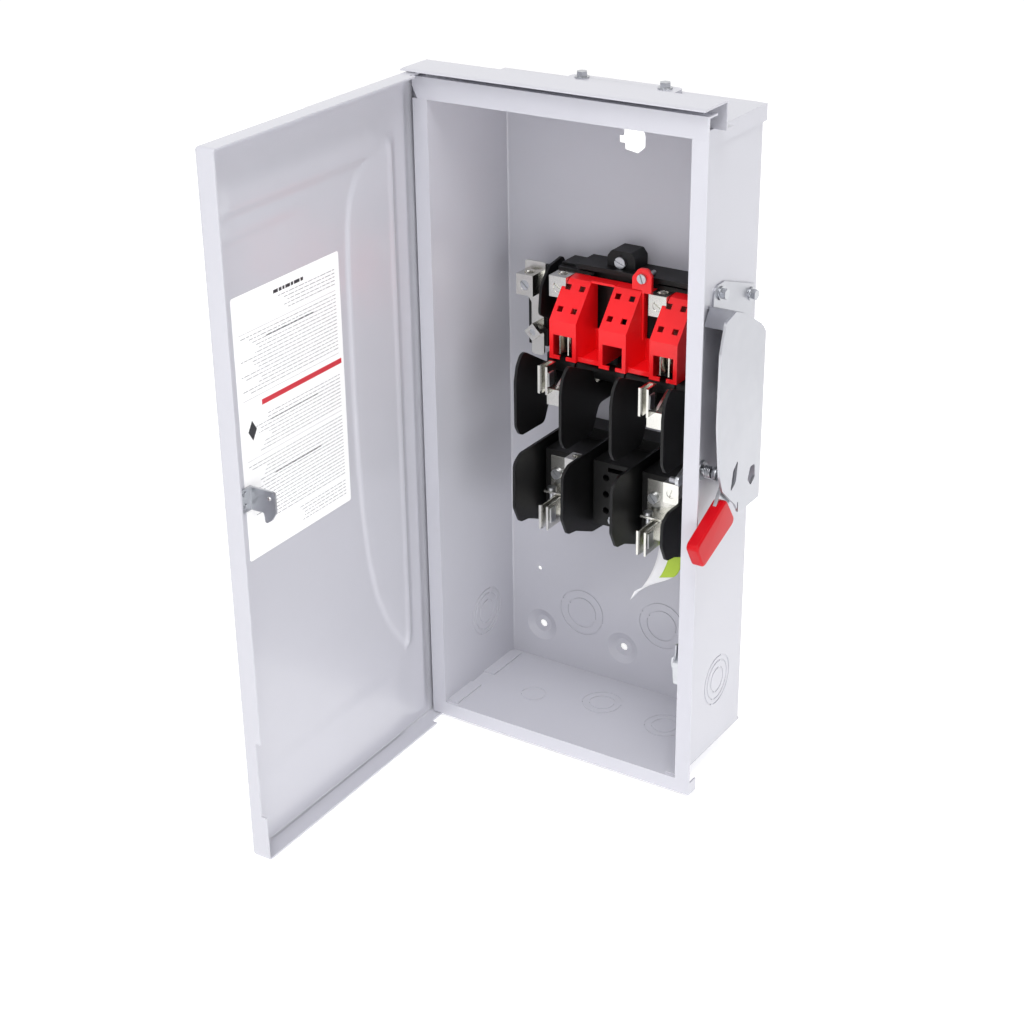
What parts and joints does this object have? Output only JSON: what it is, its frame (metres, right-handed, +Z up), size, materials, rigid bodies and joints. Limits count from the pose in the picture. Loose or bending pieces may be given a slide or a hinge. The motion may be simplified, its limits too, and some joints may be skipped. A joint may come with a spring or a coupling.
{
  "type": "fused disconnect switch",
  "caption": "Wall-mounted steel enclosure with a hinged door, a blade switch with fuse clips inside and a red side handle.",
  "frame": {"origin": "centre of the lower middle mounting hole, on the plane of the wall that the enclosure is screwed to", "axes": "+Z up, +X to the right seen from the front, +Y into the wall; the door is at -Y"},
  "size_m": [0.2785, 0.3726, 0.582],
  "materials": {
    "enclosure_paint": "satin",
    "shield_plastic": "gloss",
    "grip_plastic": "gloss",
    "black_moulding": "matte",
    "tinned_metal": "satin",
    "zinc_steel": "satin",
    "contact_copper": "satin",
    "label_paper": "matte",
    "tag_paper": "matte",
    "ground_paper": "matte"
  },
  "bodies": {
    "enclosure": {"back_sheet": "enclosure_paint", "left_side": "enclosure_paint", "right_side": "enclosure_paint", "bottom_plate": "enclosure_paint", "top_cap": "enclosure_paint", "header_channel": "enclosure_paint", "drip_hood": "enclosure_paint", "hub_closing_plate": "enclosure_paint", "hub_plate_screws": "zinc_steel", "hinge_pins": "zinc_steel", "switch_base": "black_moulding", "base_screws": "zinc_steel", "line_shield": "shield_plastic", "shield_screw": "zinc_steel", "line_lug_left": "tinned_metal", "line_lug_right": "tinned_metal", "line_lug_screws": "tinned_metal", "contact_jaw_left": "contact_copper", "contact_jaw_right": "contact_copper", "upper_barriers": "black_moulding", "upper_clip_left": "tinned_metal", "upper_clip_right": "tinned_metal", "clip_springs": "zinc_steel", "load_base": "black_moulding", "load_base_screws": "zinc_steel", "lower_clip_left": "tinned_metal", "lower_clip_right": "tinned_metal", "terminal_plate_left": "tinned_metal", "terminal_plate_right": "tinned_metal", "terminal_screws": "zinc_steel", "load_lug_left": "tinned_metal", "load_lug_right": "tinned_metal", "load_lug_screws": "tinned_metal", "neutral_base": "black_moulding", "neutral_strap": "tinned_metal", "neutral_lugs": "tinned_metal", "neutral_lug_screws": "zinc_steel", "neutral_barrier": "black_moulding", "rotor_bearings": "black_moulding", "handle_bush": "zinc_steel", "operating_spring": "zinc_steel", "handle_guard": "zinc_steel", "guard_bolts": "zinc_steel", "interlock_bush": "zinc_steel", "interlock_spring": "zinc_steel", "catch_bracket": "zinc_steel", "tag_card": "tag_paper", "ground_tag": "ground_paper"},
    "door": {"door_panel": "enclosure_paint", "door_label": "label_paper", "interlock_hook": "zinc_steel", "hook_rivets": "zinc_steel"},
    "rotor": {"rotor_shaft": "black_moulding", "blade_left": "contact_copper", "blade_right": "contact_copper"},
    "handle": {"handle_shaft": "zinc_steel", "handle_lever": "zinc_steel", "handle_grip": "grip_plastic"},
    "interlock": {"interlock_dog": "zinc_steel"},
    "catch": {"catch_tongue": "zinc_steel"}
  },
  "joints": [
    {"name": "door_hinge", "type": "hinge", "parent": "enclosure", "child": "door", "pos_m": [-0.127, -0.114, 0.24], "axis": [0, 0, 1], "range_deg": [-15, 89]},
    {"name": "handle_throw", "type": "hinge", "parent": "enclosure", "child": "handle", "pos_m": [0.117, -0.049, 0.283], "axis": [-1, 0, 0], "range_deg": [0, 80]},
    {"name": "rotor_throw", "type": "hinge", "parent": "enclosure", "child": "rotor", "pos_m": [0.02, -0.049, 0.283], "axis": [-1, 0, 0], "range_deg": [-1, 81]},
    {"name": "interlock_throw", "type": "hinge", "parent": "enclosure", "child": "interlock", "pos_m": [0.11, -0.091, 0.237], "axis": [-1, 0, 0], "range_deg": [-1, 26]},
    {"name": "catch_turn", "type": "hinge", "parent": "enclosure", "child": "catch", "pos_m": [0.109, -0.107, 0.066], "axis": [0, 1, 0], "range_deg": [-12, 12]}
  ],
  "couplings": [
    {"joint": "rotor_throw", "follows": "handle_throw", "ratio": 1},
    {"joint": "interlock_throw", "follows": "handle_throw", "ratio": 0.3125}
  ]
}
